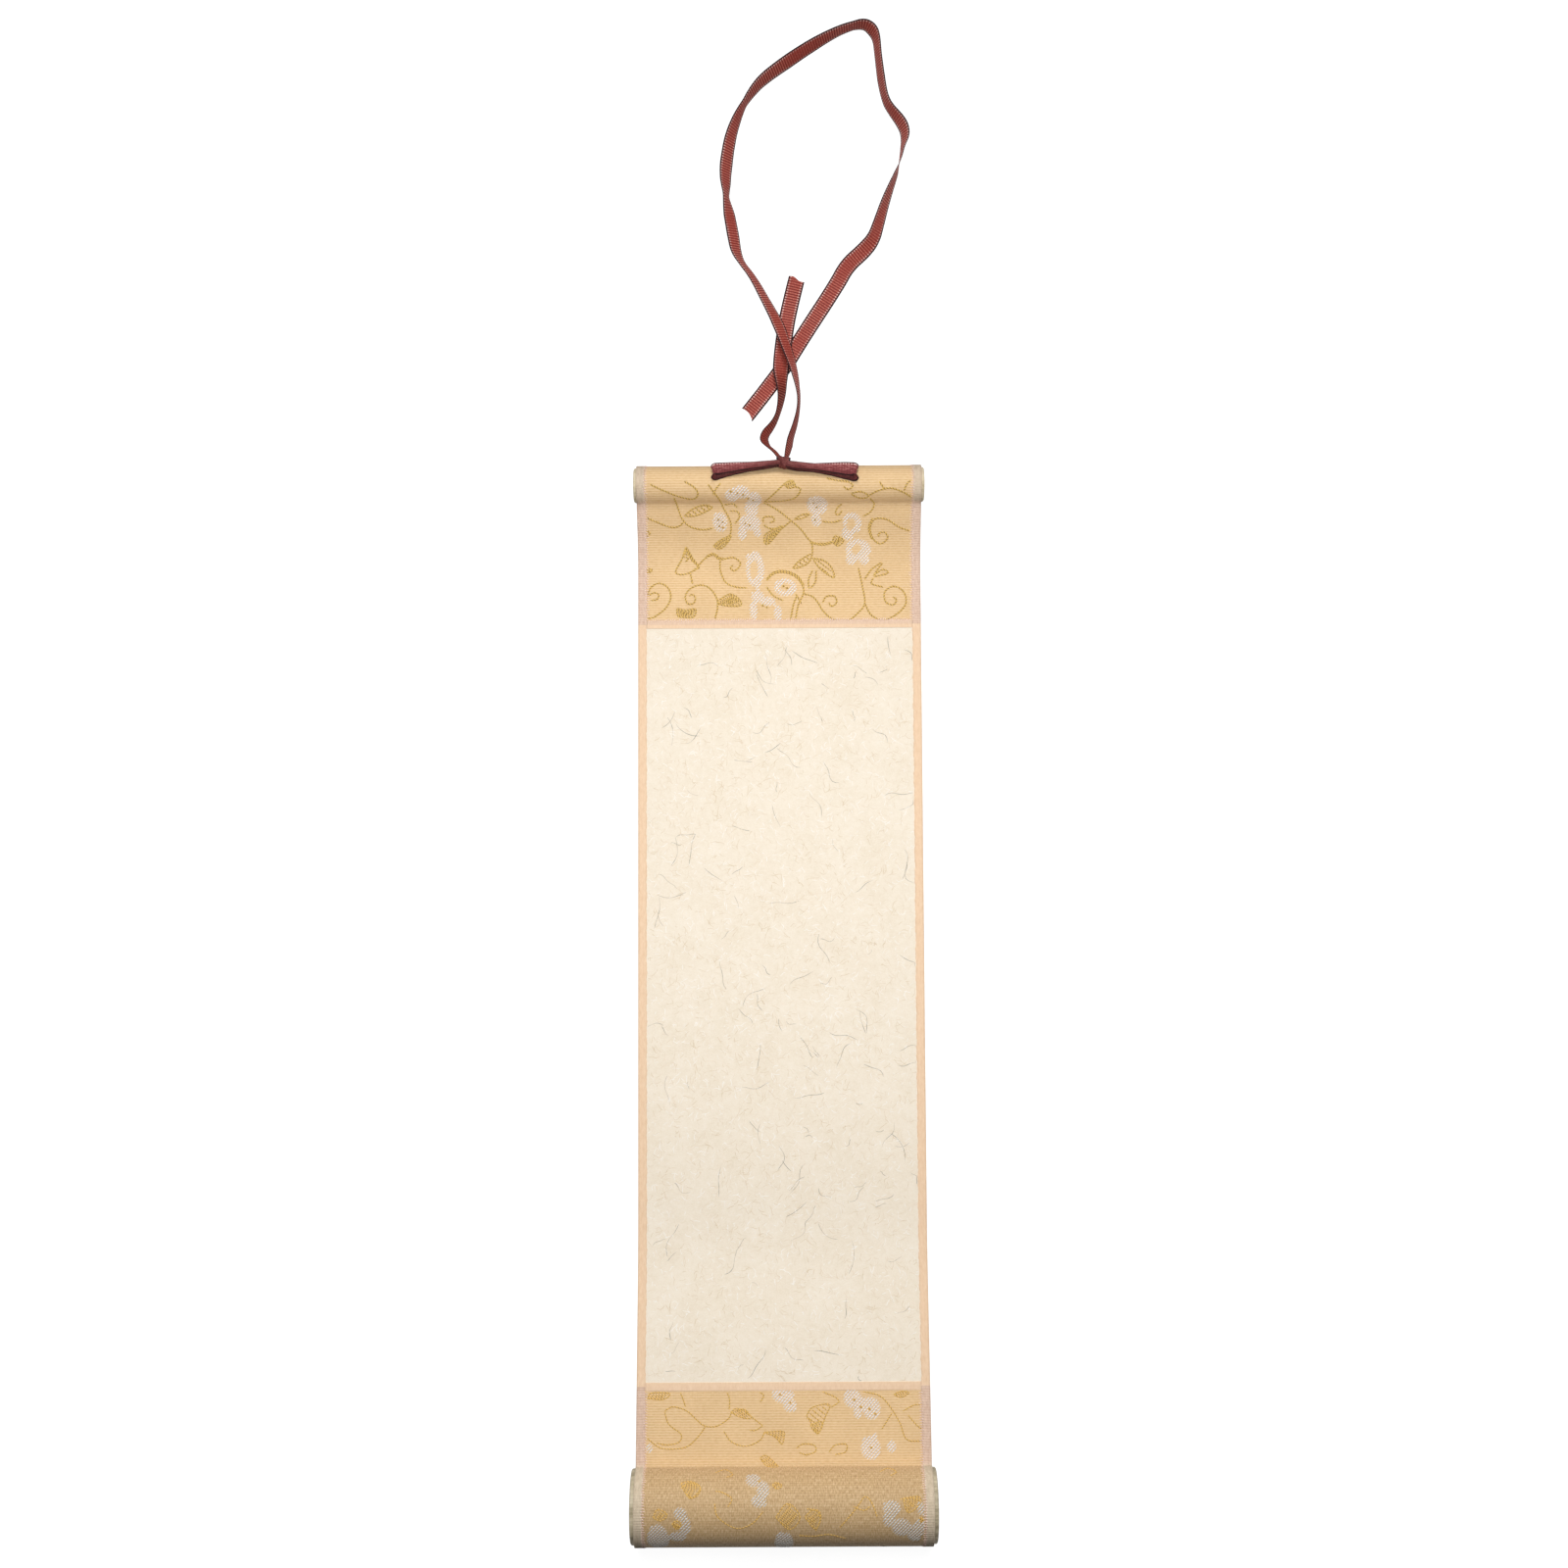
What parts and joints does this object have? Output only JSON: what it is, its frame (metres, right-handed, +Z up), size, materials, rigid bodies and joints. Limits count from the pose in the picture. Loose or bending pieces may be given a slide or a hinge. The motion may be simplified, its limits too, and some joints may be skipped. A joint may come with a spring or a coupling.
{
  "type": "hanging scroll",
  "caption": "Small blank hanging scroll, unrolled: fibre-flecked cream paper between brocade panels wrapped round a thin top rod and a thick bottom rod, tied with a rust-red ribbon.",
  "frame": {"origin": "centre of the footprint of the sheet and rods, on the table, with the ribbon left out", "axes": "+Y along the sheet from the bottom rod to the top rod, +X across it to the right, +Z up from the table through the face of the sheet"},
  "size_m": [0.0822, 0.4291, 0.021],
  "materials": {
    "backing": "plain matt paper",
    "writing_paper": "matt handmade paper with fibres",
    "tape": "matt peach paper tape",
    "brocade": "ribbed peach-gold brocade with gold vines and white blossoms",
    "rod": "plain sanded wood",
    "ribbon": "ribbed rust-red ribbon with picot edges"
  },
  "bodies": {
    "root": {"backing_sheet": "backing", "bottom_rod": "rod", "left_edge_tape": "tape", "lower_brocade": "brocade", "lower_seam_tape": "tape", "ribbon_bow": "ribbon", "ribbon_long_tail": "ribbon", "ribbon_short_tail": "ribbon", "right_edge_tape": "tape", "top_rod": "rod", "upper_brocade": "brocade", "upper_seam_tape": "tape", "writing_paper": "writing_paper"}
  },
  "joints": []
}
